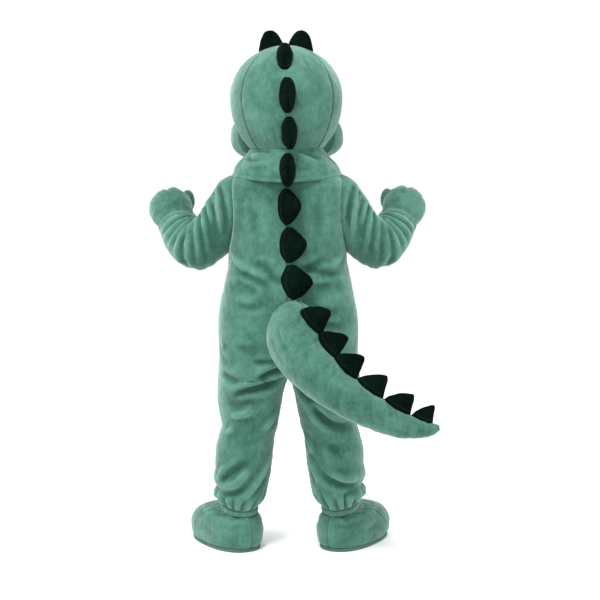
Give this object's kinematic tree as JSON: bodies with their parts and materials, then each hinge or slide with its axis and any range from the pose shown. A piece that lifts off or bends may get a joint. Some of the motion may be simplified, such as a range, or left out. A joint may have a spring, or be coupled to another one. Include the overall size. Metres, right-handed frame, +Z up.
{
  "type": "alligator mascot costume",
  "caption": "Full-body plush alligator mascot costume: round hollow head with snout, cowl, bodysuit, spined tail, mitts and boots",
  "frame": {"origin": "between the shoulders at the height where the garment hangs on its wearer", "axes": "+Z up along the body, -Y the way the face looks, +X to the wearer's left"},
  "size_m": [1.0458, 0.8308, 1.9043],
  "materials": {
    "fleece": "short soft plush",
    "dark_fleece": "short soft plush",
    "sole": "matte",
    "eye": "gloss",
    "pupil": "gloss"
  },
  "bodies": {
    "root": {"ankle_band_left": "fleece", "ankle_band_right": "fleece", "body_back_left": "fleece", "body_back_right": "fleece", "body_front_left": "fleece", "body_front_right": "fleece", "boot_inner_left": "fleece", "boot_inner_right": "fleece", "boot_outer_left": "fleece", "boot_outer_right": "fleece", "boot_sole_left": "sole", "boot_sole_right": "sole", "cowl": "fleece", "eye_left": "eye", "eye_right": "eye", "front_placket": "fleece", "head_back": "fleece", "head_front": "fleece", "head_side_left": "fleece", "head_side_right": "fleece", "horn_left": "dark_fleece", "horn_right": "dark_fleece", "jaw_lower": "fleece", "mitt_left": "fleece", "mitt_right": "fleece", "nostril_left": "dark_fleece", "nostril_right": "dark_fleece", "plate_1": "dark_fleece", "plate_10": "dark_fleece", "plate_11": "dark_fleece", "plate_12": "dark_fleece", "plate_13": "dark_fleece", "plate_2": "dark_fleece", "plate_3": "dark_fleece", "plate_4": "dark_fleece", "plate_5": "dark_fleece", "plate_6": "dark_fleece", "plate_7": "dark_fleece", "plate_8": "dark_fleece", "plate_9": "dark_fleece", "pupil_left": "pupil", "pupil_right": "pupil", "sleeve_left": "fleece", "sleeve_right": "fleece", "snout_upper": "fleece", "tail_left": "fleece", "tail_right": "fleece", "thumb_left": "fleece", "thumb_right": "fleece"}
  },
  "joints": []
}
